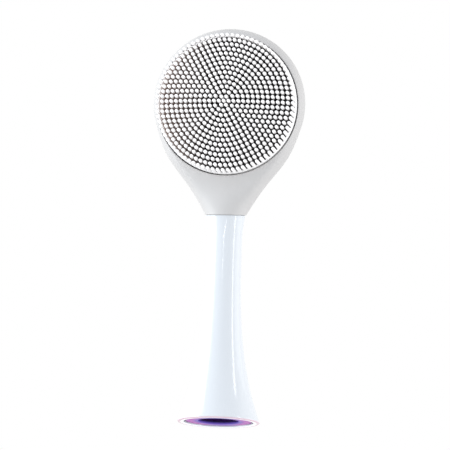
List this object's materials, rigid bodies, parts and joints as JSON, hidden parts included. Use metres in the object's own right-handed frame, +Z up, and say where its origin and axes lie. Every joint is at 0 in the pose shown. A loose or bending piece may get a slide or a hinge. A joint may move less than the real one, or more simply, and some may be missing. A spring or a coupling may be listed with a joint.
{
  "type": "facial cleansing brush head",
  "caption": "Plug-on facial cleansing brush head: round silicone bristle pad on a satin bulb, slim flared gloss neck, violet base ring and a sprung D-bore for a handle's drive shaft.",
  "frame": {"origin": "centre of the base, on the surface the rim stands on", "axes": "+Z up along the neck to the head, -Y out through the bristles, +X to the right seen from the bristle side"},
  "size_m": [0.034, 0.0193, 0.0886],
  "materials": {
    "gloss_white": "polished cool white",
    "violet_ring": "glossy violet, paler at the rim",
    "natural_acetal": "smooth, dark indigo in the shade of the ring",
    "spring_steel": "rolled stainless strip",
    "seal_rubber": "smooth black",
    "satin_silicone": "satin light grey",
    "core_plastic": "moulded, plain",
    "bristle_silicone": "soft satin white"
  },
  "bodies": {
    "neck": {"neck_shell": "gloss_white", "shaft_socket": "natural_acetal", "clip_saddle": "spring_steel", "stem_seal": "seal_rubber"},
    "ring": {"colour_ring": "violet_ring"},
    "arm_left": {"clip_arm_left": "spring_steel"},
    "arm_right": {"clip_arm_right": "spring_steel"},
    "head": {"head_cover": "satin_silicone", "head_core": "core_plastic", "carrier_plate": "core_plastic", "bristle_pad": "bristle_silicone"}
  },
  "joints": [
    {"name": "ring_pull", "type": "slide", "parent": "neck", "child": "ring", "axis": [0, 0, -1], "range_m": [0, 0.005]},
    {"name": "head_pull", "type": "slide", "parent": "neck", "child": "head", "axis": [0, 0, 1], "range_m": [0, 0.009]},
    {"name": "clip_left_flex", "type": "hinge", "parent": "neck", "child": "arm_left", "pos_m": [-0.0028, 0, 0.0189], "axis": [0, 1, 0], "range_deg": [0, 4], "stiffness_Nm_per_rad": 0.06},
    {"name": "clip_right_flex", "type": "hinge", "parent": "neck", "child": "arm_right", "pos_m": [0.0028, 0, 0.0189], "axis": [0, -1, 0], "range_deg": [0, 4], "stiffness_Nm_per_rad": 0.06}
  ],
  "couplings": [
    {"joint": "clip_right_flex", "follows": "clip_left_flex", "ratio": 1}
  ]
}
